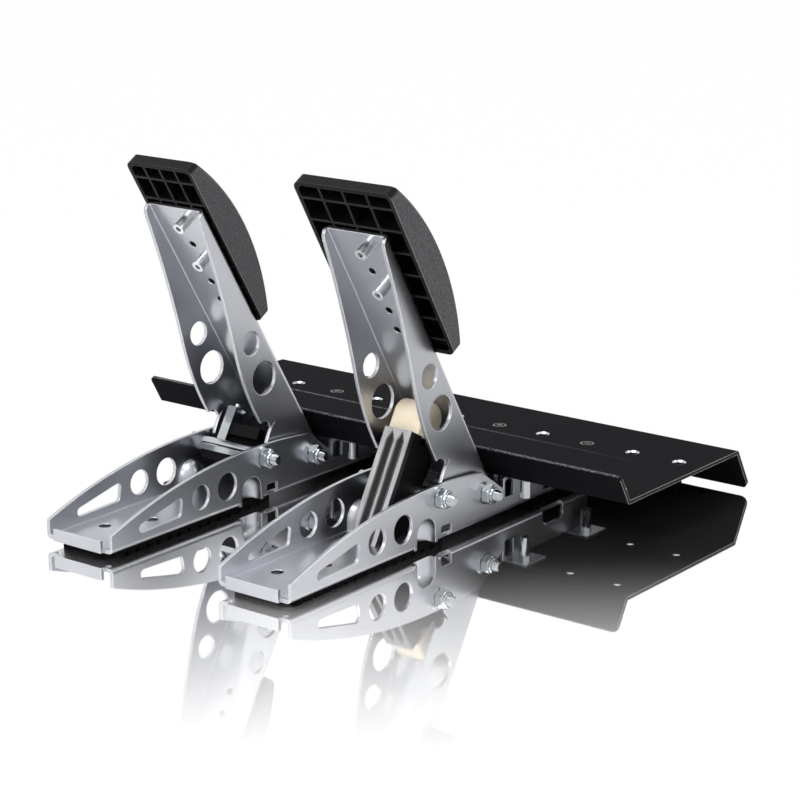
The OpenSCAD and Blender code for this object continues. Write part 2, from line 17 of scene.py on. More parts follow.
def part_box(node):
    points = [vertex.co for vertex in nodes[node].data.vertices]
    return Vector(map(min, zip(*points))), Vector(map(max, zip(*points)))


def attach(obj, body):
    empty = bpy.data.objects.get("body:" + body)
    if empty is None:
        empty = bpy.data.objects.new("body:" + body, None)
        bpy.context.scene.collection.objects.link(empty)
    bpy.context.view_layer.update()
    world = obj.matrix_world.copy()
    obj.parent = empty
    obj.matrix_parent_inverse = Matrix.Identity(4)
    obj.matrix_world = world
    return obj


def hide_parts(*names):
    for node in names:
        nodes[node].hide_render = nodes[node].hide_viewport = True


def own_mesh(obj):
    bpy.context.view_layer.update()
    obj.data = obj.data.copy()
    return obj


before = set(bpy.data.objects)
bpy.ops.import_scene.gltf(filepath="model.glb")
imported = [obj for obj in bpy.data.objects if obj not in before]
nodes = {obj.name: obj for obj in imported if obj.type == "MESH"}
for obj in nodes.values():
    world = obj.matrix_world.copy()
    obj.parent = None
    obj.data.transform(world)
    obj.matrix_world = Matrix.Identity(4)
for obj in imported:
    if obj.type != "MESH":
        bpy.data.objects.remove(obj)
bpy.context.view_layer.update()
scene = bpy.context.scene
MM = 0.001

# %% [markdown]
# ## Places that the frame gives
#
# The new pieces go where the solids are. The centre plane of each pedal is the middle of its base,
# and the two cross bolts run through the sleeves, so their axes are read from the sleeves' box.
# The brake's damper column leans 30 degrees, and two directions describe it: up the column and out of
# its face.

# %% Read the pedals' planes and the bolts' axes
SIDES = ("throttle", "brake")
FACE_TOP = Vector((0, 30.8 * MM, 61.0 * MM))
FACE_LEAN = math.radians(30)


def middle(node):
    low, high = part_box(node)
    return (low + high) / 2


def width(node, axis):
    low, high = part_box(node)
    return high[axis] - low[axis]


def in_mm(place):
    return tuple(round(v / MM, 1) for v in place)


plane_x = {side: middle(side + "_base").x for side in SIDES}
sleeve_low, sleeve_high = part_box("throttle_sleeves")
sleeve_r = width("brake_pivot_sleeve", 2) / 2
pivot = Vector((0, sleeve_low.y + sleeve_r, sleeve_low.z + sleeve_r))
stop = Vector((0, sleeve_high.y - sleeve_r, sleeve_high.z - sleeve_r))
column_axis = Vector((0, -math.sin(FACE_LEAN), math.cos(FACE_LEAN)))
column_out = Vector((0, math.cos(FACE_LEAN), math.sin(FACE_LEAN)))
print("pivot at", in_mm(pivot), "stop at", in_mm(stop))

# %% [markdown]
# ## A small kit for materials
#
# Every finish starts from Object coordinates, which are metres here, because the pieces sit at the origin.
# A noise scale of 1000 therefore means grains of about a millimetre.
# The Bevel node looks at the corner that the ray hits and returns a rounded normal. Comparing it with the
# flat normal tells where an edge is, so that a cut edge, an edge with wear or a painted edge highlight can
# have its own colour.

# %% Material helpers
X_AXIS = (1, 0, 0)
Y_AXIS = (0, 1, 0)
Z_AXIS = (0, 0, 1)
NOISE_LOW = 0.3
NOISE_HIGH = 0.7
STREAK = 0.95
EDGE_LOW = 0.02
EDGE_HIGH = 0.22
EDGE_SAMPLES = 6


class Finish:
    """One material under construction, with short ways to add nodes and links."""

    def __init__(self, name):
        self.material = bpy.data.materials.new(name)
        self.material.use_nodes = True
        self.tree = self.material.node_tree
        self.shader = self.tree.nodes["Principled BSDF"]
        self.coords = self.add("ShaderNodeTexCoord").outputs["Object"]

    def add(self, kind, **values):
        node = self.tree.nodes.new(kind)
        for key, value in values.items():
            setattr(node, key, value)
        return node

    def link(self, a, b):
        self.tree.links.new(a, b)

    def set(self, **values):
        """Sets the shader's own sockets, for what is the same all over the surface."""
        for key, value in values.items():
            self.shader.inputs[key.replace("_", " ")].default_value = value

    def noise(self, scale, detail, drawn=None):
        """Noise on the Object coordinates, drawn out into streaks along a direction if one is given."""
        grain = self.add("ShaderNodeTexNoise")
        grain.inputs["Scale"].default_value = scale
        grain.inputs["Detail"].default_value = detail
        place = self.coords
        if drawn is not None:
            part = self.add("ShaderNodeVectorMath", operation="PROJECT")
            part.inputs[1].default_value = drawn
            self.link(self.coords, part.inputs[0])
            most = self.add("ShaderNodeVectorMath", operation="SCALE")
            most.inputs["Scale"].default_value = STREAK
            self.link(part.outputs["Vector"], most.inputs[0])
            rest = self.add("ShaderNodeVectorMath", operation="SUBTRACT")
            self.link(self.coords, rest.inputs[0])
            self.link(most.outputs["Vector"], rest.inputs[1])
            place = rest.outputs["Vector"]
        self.link(place, grain.inputs["Vector"])
        return grain.outputs["Fac"]

    def span(self, value, low, high, from_low=NOISE_LOW, from_high=NOISE_HIGH):
        """Maps a value to the range from low to high. Its own range is that of noise if none is given."""
        ranged = self.add("ShaderNodeMapRange")
        ranged.inputs["From Min"].default_value = from_low
        ranged.inputs["From Max"].default_value = from_high
        ranged.inputs["To Min"].default_value = low
        ranged.inputs["To Max"].default_value = high
        self.link(value, ranged.inputs["Value"])
        return ranged.outputs["Result"]

    def blend(self, factor, a, b):
        """Goes from colour a to colour b. Each is a fixed colour or a socket."""
        mixed = self.add("ShaderNodeMix", data_type="RGBA")
        self.link(factor, mixed.inputs["Factor"])
        for socket, value in ((mixed.inputs[6], a), (mixed.inputs[7], b)):
            if isinstance(value, tuple):
                socket.default_value = (*value, 1)
            else:
                self.link(value, socket)
        return mixed.outputs[2]

    def edges(self, radius):
        """The rounded normal, and 1 on corners narrower than radius, 0 on flats."""
        rounded = self.add("ShaderNodeBevel", samples=EDGE_SAMPLES)
        rounded.inputs["Radius"].default_value = radius
        flat = self.add("ShaderNodeNewGeometry")
        dot = self.add("ShaderNodeVectorMath", operation="DOT_PRODUCT")
        self.link(rounded.outputs["Normal"], dot.inputs[0])
        self.link(flat.outputs["Normal"], dot.inputs[1])
        mask = self.span(dot.outputs["Value"], 1, 0, 1 - EDGE_HIGH, 1 - EDGE_LOW)
        return rounded.outputs["Normal"], mask

    def along(self, direction):
        """How far a point lies along a direction, in metres."""
        dot = self.add("ShaderNodeVectorMath", operation="DOT_PRODUCT")
        dot.inputs[1].default_value = direction
        self.link(self.coords, dot.inputs[0])
        return dot.outputs["Value"]

    def away(self, direction, place):
        """How far a point is from a plane across a direction, on either side of it."""
        offset = self.add("ShaderNodeMath", operation="SUBTRACT")
        offset.inputs[1].default_value = place
        self.link(self.along(direction), offset.inputs[0])
        size = self.add("ShaderNodeMath", operation="ABSOLUTE")
        self.link(offset.outputs[0], size.inputs[0])
        return size.outputs[0]

    def both(self, a, b, operation="MULTIPLY"):
        """Joins two values in a Math node."""
        joined = self.add("ShaderNodeMath", operation=operation)
        self.link(a, joined.inputs[0])
        self.link(b, joined.inputs[1])
        return joined.outputs[0]

    def bump(self, height, distance, normal=None):
        """Raises the surface by distance where height is 1, on top of a rounded normal if one is given."""
        bump = self.add("ShaderNodeBump")
        bump.inputs["Distance"].default_value = distance
        self.link(height, bump.inputs["Height"])
        if normal is not None:
            self.link(normal, bump.inputs["Normal"])
        self.link(bump.outputs["Normal"], self.shader.inputs["Normal"])

    def colour(self, socket):
        self.link(socket, self.shader.inputs["Base Color"])

    def roughness(self, socket):
        self.link(socket, self.shader.inputs["Roughness"])


print("material kit ready")

# %% [markdown]
# ## Bare steel
#
# The bases and arms are bent sheet steel with a satin polish: a fine grain of tone that runs along the
# sheet, slow cloudy changes from rolling and plating, and brighter cut edges. The brake's arm is a little
# darker than the rest: the same steel with painted shade. The sheet mirrors what stands next to it, such
# as the cream bumper, in a blur.
# The zinc on bolts, nuts and barrels is smoother and a little bluer.

# %% Steel and zinc finishes
ARM_LEAN = math.radians(31)
arm_way = Vector((0, -math.sin(ARM_LEAN), math.cos(ARM_LEAN)))
driver_way = Vector((0, -math.cos(ARM_LEAN), -math.sin(ARM_LEAN)))
SHEET_EDGE_R = 0.6 * MM
SHEET_EDGE_TONE = (0.74, 0.75, 0.78)
SHEET_GRAIN = 900
SHEET_CLOUD = 22
SHEET_ROUGH = (0.27, 0.32)
GRAIN_SHARE = 0.3
LIGHT_STEEL = ((0.50, 0.51, 0.54), (0.58, 0.59, 0.625))
# The brake arm's tones below are the same steel made darker, as painted shade.
PAINTED_SHADE_STEEL = ((0.42, 0.43, 0.455), (0.50, 0.51, 0.535))
ZINC_SPOT = 420
ZINC_CLOUD = 120
ZINC_SHADE = 0.84
ZINC_DEPTH = 0.003 * MM


def satin_steel(name, drawn, tones):
    f = Finish(name)
    f.set(Metallic=1.0)
    normal, edge = f.edges(SHEET_EDGE_R)
    grain = f.noise(SHEET_GRAIN, 2, drawn)
    cloud = f.noise(SHEET_CLOUD, 3)
    mottled = f.both(f.span(cloud, 0, 1 - GRAIN_SHARE), f.span(grain, 0, GRAIN_SHARE), "ADD")
    f.colour(f.blend(edge, f.blend(mottled, *tones), SHEET_EDGE_TONE))
    f.roughness(f.span(cloud, *SHEET_ROUGH))
    f.link(normal, f.shader.inputs["Normal"])
    return f.material


def bright_zinc(name, tone, rough):
    f = Finish(name)
    f.set(Metallic=1.0)
    spot = f.noise(ZINC_SPOT, 2)
    cloud = f.noise(ZINC_CLOUD, 2)
    f.colour(f.blend(f.span(cloud, 0, 1), tone, tuple(ZINC_SHADE * c for c in tone)))
    f.roughness(f.span(spot, *rough))
    f.bump(spot, ZINC_DEPTH)
    return f.material


base_steel = satin_steel("base_steel", Y_AXIS, LIGHT_STEEL)
arm_steel = {"throttle": satin_steel("throttle_arm_steel", arm_way, LIGHT_STEEL),
             "brake": satin_steel("brake_arm_steel", arm_way, PAINTED_SHADE_STEEL)}
zinc = bright_zinc("bright_zinc", tone=(0.55, 0.58, 0.60), rough=(0.12, 0.22))
screw_zinc = bright_zinc("screw_zinc", tone=(0.80, 0.82, 0.84), rough=(0.26, 0.38))
spring_wire = bright_zinc("spring_wire", tone=(0.55, 0.55, 0.57), rough=(0.15, 0.25))
magnet_nickel = bright_zinc("magnet_nickel", tone=(0.45, 0.44, 0.43), rough=(0.12, 0.22))
print("steel finishes:", base_steel.name, zinc.name, spring_wire.name)

# %% [markdown]
# ## Black finishes
#
# The heel plate is powder coated: nearly black, with a tight orange-peel texture. The coat is thin where
# the sheet was cut, so pale speckled lines run along the cut edges. One pale speckled line across the
# panel, which fades out towards one end, is a painted highlight. Most of their places come from the
# plate's own box.
# The pads are moulded plastic: deep black between the ribs, with a coarse spark-eroded grain on their
# flanks and tread, and a painted highlight along their moulded edges. The housings are a finer plastic,
# the feet are dull rubber and the heel plate's screws are oxidised black with a painted highlight on
# their edges, and one function makes these three.

# %% Black finishes
COAT_CLOUD = 30
COAT_PALER = 1.35
SCREW_SINK = 0.1 * MM
POWDER_EDGE_R = 0.7 * MM
POWDER_EDGE_TONE = (0.05, 0.05, 0.052)
POWDER_GRAIN = 1700
POWDER_DEPTH = 0.06 * MM
POWDER_ROUGH = (0.5, 0.65)
POWDER_SHINE = 0.012
POWDER_TONES = ((0.002, 0.002, 0.003), (0.010, 0.010, 0.012))
# Place of the pale line across the panel, which is a painted highlight. Its width and tone also serve the
# wear on the cut top edge.
HIGHLIGHT_LINE_Y = -87 * MM
WEAR_AND_HIGHLIGHT_WIDTH = 0.9 * MM
WEAR_AND_HIGHLIGHT_TONE = (0.22, 0.22, 0.23)
SPECKLE = 1500
SPECKLE_RANGE = (0.42, 0.62)
CUT_RIM_R = 0.5 * MM
CUT_TONES = ((0.03, 0.03, 0.031), (0.80, 0.80, 0.81))
PAD_EDGE_R = 0.5 * MM
# Levels of the painted edge highlight: inside, and along the pad's sides.
PAD_HIGHLIGHT_LEVELS = (0.10, 0.42)
PAD_GRAIN = 1000
PAD_DEPTH = 0.14 * MM
PAD_ROUGH = (0.36, 0.52)
PAD_SHINE = 0.10
PAD_TONE = (0.004, 0.004, 0.004)
ERODED_TONES = ((0.048, 0.048, 0.051), (0.125, 0.126, 0.132))
TREAD_SHARE = 0.55


def black_coat(name, dark, edge_tone, grain_scale, depth, rough, edge_r, shine):
    f = Finish(name)
    f.set(Specular_IOR_Level=shine)
    normal, edge = f.edges(edge_r)
    grain = f.noise(grain_scale, 2)
    cloud = f.noise(COAT_CLOUD, 2)
    tone = f.blend(f.span(cloud, 0, 1), dark, tuple(COAT_PALER * c for c in dark))
    f.colour(f.blend(edge, tone, edge_tone))
    f.roughness(f.span(grain, *rough))
    f.bump(grain, depth, normal)
    return f.material


def powder_coat():
    """Black coat with speckled pale lines along cut edges, and a painted highlight line across the panel.
    """
    f = Finish("powder_coat")
    f.set(Specular_IOR_Level=POWDER_SHINE)
    low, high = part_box("heel_plate")
    plate_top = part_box("heel_plate_screws")[1].z + SCREW_SINK
    normal, edge = f.edges(POWDER_EDGE_R)
    grain = f.noise(POWDER_GRAIN, 3)
    tone = f.blend(f.span(grain, 0, 1), *POWDER_TONES)
    from_line = f.both(f.away(Y_AXIS, HIGHLIGHT_LINE_Y), f.away(Z_AXIS, plate_top), "ADD")
    line = f.span(from_line, 1, 0, 0.6 * WEAR_AND_HIGHLIGHT_WIDTH, 1.5 * WEAR_AND_HIGHLIGHT_WIDTH)
    # Painted highlight: the pale line across the panel, which fades out along X.
    painted_highlight_line = f.both(line, f.span(f.along(X_AXIS), 0, 1, 0.85 * low.x, 0.5 * high.x))
    crest = f.span(f.along(Z_AXIS), 0, 1, high.z - 1.2 * WEAR_AND_HIGHLIGHT_WIDTH, high.z - 0.6 * WEAR_AND_HIGHLIGHT_WIDTH)
    wear_and_highlight = f.both(painted_highlight_line, crest, "MAXIMUM")
    speckled = f.both(wear_and_highlight, f.span(f.noise(SPECKLE, 2), 0, 1, *SPECKLE_RANGE))
    tone = f.blend(speckled, tone, WEAR_AND_HIGHLIGHT_TONE)
    half = (high.x - low.x) / 2
    from_middle = f.away(X_AXIS, (low.x + high.x) / 2)
    end = f.span(from_middle, 0, 1, half - 0.5 * MM, half - 0.2 * MM)
    _, cut_rim = f.edges(CUT_RIM_R)
    cut = f.blend(cut_rim, *CUT_TONES)
    f.colour(f.blend(end, f.blend(edge, tone, POWDER_EDGE_TONE), cut))
    f.roughness(f.span(grain, *POWDER_ROUGH))
    f.bump(grain, POWDER_DEPTH, normal)
    return f.material


def pad_plastic(side):
    """Deep black ribs, greyer eroded sides and tread, and a painted highlight along the moulded edges."""
    f = Finish(side + "_pad_plastic")
    f.set(Specular_IOR_Level=PAD_SHINE)
    low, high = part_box(side + "_pad")
    half = (high.x - low.x) / 2
    normal, edge = f.edges(PAD_EDGE_R)
    grain = f.noise(PAD_GRAIN, 3)
    from_middle = f.away(X_AXIS, (low.x + high.x) / 2)
    # Painted highlight: pale edges, brightest along the pad's sides.
    painted_edge_highlight = f.span(from_middle, *PAD_HIGHLIGHT_LEVELS, half - 1.2 * MM, half - 0.8 * MM)
    flank = f.span(from_middle, 0, 1, half - 0.7 * MM, half - 0.3 * MM)
    facing = f.add("ShaderNodeVectorMath", operation="DOT_PRODUCT")
    f.link(f.add("ShaderNodeNewGeometry").outputs["Normal"], facing.inputs[0])
    facing.inputs[1].default_value = driver_way
    tread = f.span(facing.outputs["Value"], 0, TREAD_SHARE, 0.1, 0.4)
    outside = f.both(flank, tread, "MAXIMUM")
    grey = f.blend(f.span(grain, 0, 1), *ERODED_TONES)
    pale = f.add("ShaderNodeCombineColor")
    for tint in ("Red", "Green", "Blue"):
        f.link(painted_edge_highlight, pale.inputs[tint])
    f.colour(f.blend(edge, f.blend(outside, PAD_TONE, grey), pale.outputs["Color"]))
    f.roughness(f.span(grain, *PAD_ROUGH))
    f.bump(grain, PAD_DEPTH, normal)
    return f.material


heel_plate_coat = powder_coat()
pad_finish = {side: pad_plastic(side) for side in SIDES}
housing_plastic = black_coat(
    "housing_plastic", dark=(0.007, 0.007, 0.008), edge_tone=(0.04, 0.04, 0.04),
    grain_scale=2200, depth=0.03 * MM, rough=(0.4, 0.55), edge_r=0.5 * MM, shine=0.05)
foot_rubber = black_coat(
    "foot_rubber", dark=(0.005, 0.005, 0.005), edge_tone=(0.01, 0.01, 0.01),
    grain_scale=1400, depth=0.06 * MM, rough=(0.65, 0.85), edge_r=0.5 * MM, shine=0.02)
# The screws' near-white edge tone is a painted highlight on their edges.
black_oxide_painted_highlight = black_coat(
    "black_oxide_painted_highlight", dark=(0.003, 0.003, 0.004), edge_tone=(0.90, 0.90, 0.91),
    grain_scale=1800, depth=0.01 * MM, rough=(0.3, 0.42), edge_r=0.7 * MM, shine=0.02)
print("black finishes:", heel_plate_coat.name, housing_plastic.name, foot_rubber.name, black_oxide_painted_highlight.name)

# %% [markdown]
# ## Other finishes
#
# The grooved face of the damper column is brushed aluminium with dark grooves. The bumper is a cream
# elastomer that lets a little light in, so it has subsurface scattering. The bushes are pale bearing
# plastic.

# %% Column, elastomer and bush finishes
FACE_EDGE_R = 0.3 * MM
FACE_GRAIN = 1500
FACE_DEPTH = 0.02 * MM
FACE_ROUGH = (0.36, 0.5)
LAND_TONES = ((0.17, 0.17, 0.175), (0.36, 0.36, 0.37))
GROOVE_TONE = (0.035, 0.035, 0.037)
GROOVE_FROM = 0.25 * MM
GROOVE_TO = 0.8 * MM
CREAM_TONES = ((0.95, 0.79, 0.58), (0.98, 0.86, 0.69))
CREAM_ROUGH = (0.42, 0.6)
CREAM_DEPTH = 0.03 * MM
BUSH_TONES = ((0.62, 0.60, 0.55), (0.72, 0.70, 0.66))
BUSH_ROUGH = (0.35, 0.5)


def column_face():
    """Brushed lands, and grooves that are dark below the face's plane."""
    f = Finish("column_face_alloy")
    f.set(Metallic=0.7)
    normal, edge = f.edges(FACE_EDGE_R)
    grain = f.noise(FACE_GRAIN, 3, column_axis)
    land = f.blend(f.span(grain, 0, 1), *LAND_TONES)
    face = FACE_TOP.dot(column_out)
    groove = f.span(f.along(column_out), 1, 0, face - GROOVE_TO, face - GROOVE_FROM)
    tone = f.blend(groove, land, GROOVE_TONE)
    f.colour(f.blend(edge, tone, LAND_TONES[1]))
    f.roughness(f.span(grain, *FACE_ROUGH))
    f.bump(grain, FACE_DEPTH, normal)
    return f.material


def soft_elastomer():
    f = Finish("cream_elastomer")
    f.set(Subsurface_Weight=0.25, Subsurface_Scale=0.004, Subsurface_Radius=(1.0, 0.6, 0.35))
    f.colour(f.blend(f.span(f.noise(90, 4), 0, 1), *CREAM_TONES))
    f.roughness(f.span(f.noise(900, 2), *CREAM_ROUGH))
    f.bump(f.noise(1500, 3), CREAM_DEPTH)
    return f.material


def bearing_plastic():
    f = Finish("bearing_plastic")
    cloud = f.noise(400, 2)
    f.colour(f.blend(f.span(cloud, 0, 1), *BUSH_TONES))
    f.roughness(f.span(cloud, *BUSH_ROUGH))
    return f.material


column_alloy = column_face()
elastomer = soft_elastomer()
bush_plastic = bearing_plastic()
print("other finishes:", column_alloy.name, elastomer.name, bush_plastic.name)

# %% Give the CAD nodes their finishes
finish_of = {
    "heel_plate": heel_plate_coat, "heel_plate_screws": black_oxide_painted_highlight, "heel_plate_feet": foot_rubber,
    "brake_column_spacers": zinc, "brake_pivot_sleeve": zinc, "throttle_sleeves": zinc,
    "brake_column": housing_plastic, "brake_column_face": column_alloy, "brake_sensor": housing_plastic,
    "throttle_housing": housing_plastic, "throttle_strip": zinc, "throttle_bracket": zinc,
    "throttle_sensor": housing_plastic, "throttle_plunger": zinc,
    "brake_bumper": elastomer, "throttle_spring": spring_wire,
}
for side in SIDES:
    finish_of.update({
        side + "_base": base_steel, side + "_arm": arm_steel[side], side + "_pad": pad_finish[side],
        side + "_pad_screws": screw_zinc, side + "_magnet": magnet_nickel, side + "_bushes": bush_plastic,
        side + "_barrels": zinc, side + "_feet": foot_rubber, side + "_bolts": zinc, side + "_nuts": zinc,
        side + "_washers": zinc,
    })
for name, obj in nodes.items():
    obj.data.materials.clear()
    obj.data.materials.append(finish_of[name])
print("finished", len(nodes), "CAD nodes with", len(set(finish_of.values())), "materials")

# %% [markdown]
# ## Threads, nuts and bolts
#
# Round and hexagonal fasteners are all rings stacked along one axis. A ring's radius may depend on the
# angle: a hexagon divides its flat's distance by the cosine of the angle to the nearest flat, and a thread
# lets the radius rise and fall once per pitch while the angle goes once round. One helper therefore makes
# them all.

# %% Ring-stacked fasteners
AROUND = 48
SHARP_FROM = 32


def hex_radius(angle, flat):
    sector = math.radians(60)
    return flat / math.cos((angle + sector / 2) % sector - sector / 2)


def stacked_rings(name, rows, hollow=False):
    """A closed solid along X. Each row is (x, radius), and a radius is a number or a rule of the angle."""
    angles = [2 * math.pi * j / AROUND for j in range(AROUND)]
    mesh = bpy.data.meshes.new(name)
    shape = bmesh.new()
    rings = []
    for x, radius in rows:
        rule = radius if callable(radius) else (lambda angle, r=radius: r)
        rings.append([shape.verts.new((x, rule(a) * math.cos(a), rule(a) * math.sin(a))) for a in angles])
    pairs = list(zip(rings, rings[1:] + rings[:1])) if hollow else list(zip(rings, rings[1:]))
    for low, high in pairs:
        for j in range(AROUND):
            k = (j + 1) % AROUND
            shape.faces.new((low[j], low[k], high[k], high[j]))
    if not hollow:
        shape.faces.new(rings[0])
        shape.faces.new(rings[-1])
    bmesh.ops.recalc_face_normals(shape, faces=shape.faces)
    shape.to_mesh(mesh)
    shape.free()
    form = bpy.data.objects.new(name, mesh)
    scene.collection.objects.link(form)
    return form


def smooth(obj, degrees=SHARP_FROM):
    mesh = obj.data
    mesh.polygons.foreach_set("use_smooth", [True] * len(mesh.polygons))
    mesh.set_sharp_from_angle(angle=math.radians(degrees))


def local_x(node, side):
    low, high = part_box(node)
    return low.x - plane_x[side], high.x - plane_x[side]


bolt_x0, bolt_x1 = local_x("throttle_bolts", "throttle")
nut_x0, nut_x1 = local_x("throttle_nuts", "throttle")
_, washer_x1 = local_x("throttle_washers", "throttle")
print("bolt from", round(bolt_x0 / MM, 2), "to", round(bolt_x1 / MM, 2), "mm across its base")

# %% Bolt and nut forms
THREAD_R = 2.95 * MM
THREAD_DEPTH = 0.55 * MM
THREAD_PITCH = 1.0 * MM
THREAD_LENGTH = 12 * MM
RINGS_PER_TURN = 8
POINT_CHAMFER = 0.8 * MM
HEX_FLAT = 5.0 * MM
HEX_TOP = 0.95 * HEX_FLAT
CONE = math.tan(math.radians(60))
HEAD_FOOT = 0.6 * MM
HEAD_RINGS = (0.1, 0.7, 0.8, 0.9, 1.0)
DISH_R = 3.0 * MM
DISH_FLOOR_R = 2.6 * MM
DISH_DEPTH = 0.3 * MM
NUT_HEX = 4.6 * MM
NUT_RINGS = (0.2 * MM, 0.4 * MM, 0.7 * MM)
NUT_LEAD = 0.5 * MM
COLLAR_R = 4.3 * MM
COLLAR_EDGE = ((0.5 * MM, 0.0), (0.15 * MM, 0.2 * MM), (0.0, 0.6 * MM))


def thread_radius(x):
    """The radius rule of a thread's ring at x, run down to the root at the bolt's point."""
    chamfer = max(0.0, POINT_CHAMFER - (x - bolt_x0))

    def rule(angle):
        turn = (x / THREAD_PITCH + angle / (2 * math.pi)) % 1
        return min(THREAD_R - THREAD_DEPTH * abs(2 * turn - 1), THREAD_R - chamfer)
    return rule


def chamfered_hex(x, top):
    """A hexagon at x whose corners are turned off by a cone that is narrowest at top."""
    return lambda angle: min(hex_radius(angle, HEX_FLAT), HEX_TOP + abs(top - x) * CONE)


def bolt_form():
    """A threaded end, a plain shank and a head with a shallow dish in its top."""
    steps = RINGS_PER_TURN * int(THREAD_LENGTH / THREAD_PITCH)
    rows = []
    for i in range(steps + 1):
        x = bolt_x0 + THREAD_LENGTH * i / steps
        rows.append((x, thread_radius(x)))
    rows += [(washer_x1, THREAD_R), (washer_x1, chamfered_hex(washer_x1 + HEAD_FOOT, bolt_x1))]
    for share in HEAD_RINGS:
        x = washer_x1 + (bolt_x1 - washer_x1) * share
        rows.append((x, chamfered_hex(x, bolt_x1)))
    rows += [(bolt_x1, DISH_R), (bolt_x1 - DISH_DEPTH, DISH_FLOOR_R)]
    return stacked_rings("bolt_form", rows)


def nut_form():
    """A hexagon chamfered at both ends, with a round locking collar."""
    hex_x0 = nut_x1 - NUT_HEX
    rows = [(nut_x1, THREAD_R), (nut_x1, chamfered_hex(nut_x1, nut_x1))]
    rows += [(nut_x1 - d, chamfered_hex(nut_x1 - d, nut_x1)) for d in NUT_RINGS]
    rows += [(hex_x0 + d, chamfered_hex(hex_x0 + d, hex_x0)) for d in (*reversed(NUT_RINGS), 0.0)]
    rows += [(hex_x0, COLLAR_R)]
    rows += [(nut_x0 + depth, COLLAR_R - inset) for depth, inset in COLLAR_EDGE]
    rows += [(nut_x0, THREAD_R + NUT_LEAD), (nut_x0 + NUT_LEAD, THREAD_R)]
    return stacked_rings("nut_form", rows, hollow=True)


bolt = bolt_form()
nut = nut_form()
print("bolt form", len(bolt.data.polygons), "faces; nut form", len(nut.data.polygons), "faces")

# %% [markdown]
# ## Setting fasteners out with Geometry Nodes
#
# Each base has two cross bolts, and the heel plate has two rows of holes, so one small tree places a form
# on points. The points are the host object's own vertices. The tree ends in Realize Instances and Set
# Material, and the evaluated result is kept as a plain mesh, because the finished piece must not depend on
# a live modifier.

# %% A tree that puts a form on points


def placing_tree():
    tree = bpy.data.node_groups.new("place_on_points", "GeometryNodeTree")
    tree.interface.new_socket("Geometry", in_out="INPUT", socket_type="NodeSocketGeometry")
    tree.interface.new_socket("Form", in_out="INPUT", socket_type="NodeSocketObject")
    tree.interface.new_socket("Size", in_out="INPUT", socket_type="NodeSocketFloat")
    tree.interface.new_socket("Finish", in_out="INPUT", socket_type="NodeSocketMaterial")
    tree.interface.new_socket("Geometry", in_out="OUTPUT", socket_type="NodeSocketGeometry")
    source = tree.nodes.new("NodeGroupInput")
    result = tree.nodes.new("NodeGroupOutput")
    points = tree.nodes.new("GeometryNodeMeshToPoints")
    form = tree.nodes.new("GeometryNodeObjectInfo")
    place = tree.nodes.new("GeometryNodeInstanceOnPoints")
    realize = tree.nodes.new("GeometryNodeRealizeInstances")
    paint = tree.nodes.new("GeometryNodeSetMaterial")
    for a, b in ((source.outputs["Geometry"], points.inputs["Mesh"]),
                 (source.outputs["Form"], form.inputs["Object"]),
                 (points.outputs["Points"], place.inputs["Points"]),
                 (form.outputs["Geometry"], place.inputs["Instance"]),
                 (source.outputs["Size"], place.inputs["Scale"]),
                 (place.outputs["Instances"], realize.inputs["Geometry"]),
                 (realize.outputs["Geometry"], paint.inputs["Geometry"]),
                 (source.outputs["Finish"], paint.inputs["Material"]),
                 (paint.outputs["Geometry"], result.inputs["Geometry"])):
        tree.links.new(a, b)
    return tree


def grown(name, tree, points, **values):
    """Runs a tree on a host with these points and returns the result as a plain mesh object."""
    host_mesh = bpy.data.meshes.new(name)
    host_mesh.from_pydata([tuple(p) for p in points], [], [])
    piece = bpy.data.objects.new(name, host_mesh)
    scene.collection.objects.link(piece)
    modifier = piece.modifiers.new("grow", "NODES")
    modifier.node_group = tree
    for socket in tree.interface.items_tree:
        if socket.in_out == "INPUT" and socket.name in values:
            modifier[socket.identifier] = values[socket.name]
    graph = bpy.context.evaluated_depsgraph_get()
    mesh = bpy.data.meshes.new_from_object(piece.evaluated_get(graph))
    piece.modifiers.clear()
    piece.data = mesh
    mesh.name = name
    return piece


place_on_points = placing_tree()
for side in SIDES:
    axes = [Vector((plane_x[side], axis.y, axis.z)) for axis in (pivot, stop)]
    for form, kind in ((bolt, "bolts"), (nut, "nuts")):
        piece = grown(f"{side}_cross_{kind}", place_on_points, axes, Form=form, Size=1.0, Finish=zinc)
        smooth(piece)
        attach(piece, "chassis")
        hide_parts(f"{side}_{kind}")
        print(piece.name, len(piece.data.polygons), "faces")

# %% [markdown]
# ## Bright countersinks
#
# The heel plate is drilled after coating, so each empty countersink shows a cone of bare metal.
# The hole pitch is a quarter of the distance between the pedals, and the two rows are where the screws
# are.

# %% Rims in the heel plate's empty holes
RIM_IN = 2.95 * MM
RIM_OUT = 3.88 * MM
RIM_DEEP = 0.92 * MM
RIM_THICK = 0.1 * MM
RIM_FLARE = 0.02 * MM
RIM_LIFT = 0.03 * MM
SCREW_HEAD_R = 3.75 * MM
HOLES_EACH_WAY = 5
hole_pitch = (plane_x["throttle"] - plane_x["brake"]) / 4


def rim_form():
    """A thin cone that lines a countersink, made along X and turned upright."""
    rows = [(0, RIM_OUT), (-RIM_DEEP, RIM_IN), (-RIM_DEEP - RIM_THICK, RIM_IN),
            (-RIM_THICK, RIM_OUT + RIM_FLARE)]
    form = stacked_rings("rim_form", rows, hollow=True)
    form.data.transform(Matrix.Rotation(math.radians(-90), 4, "Y"))
    return form


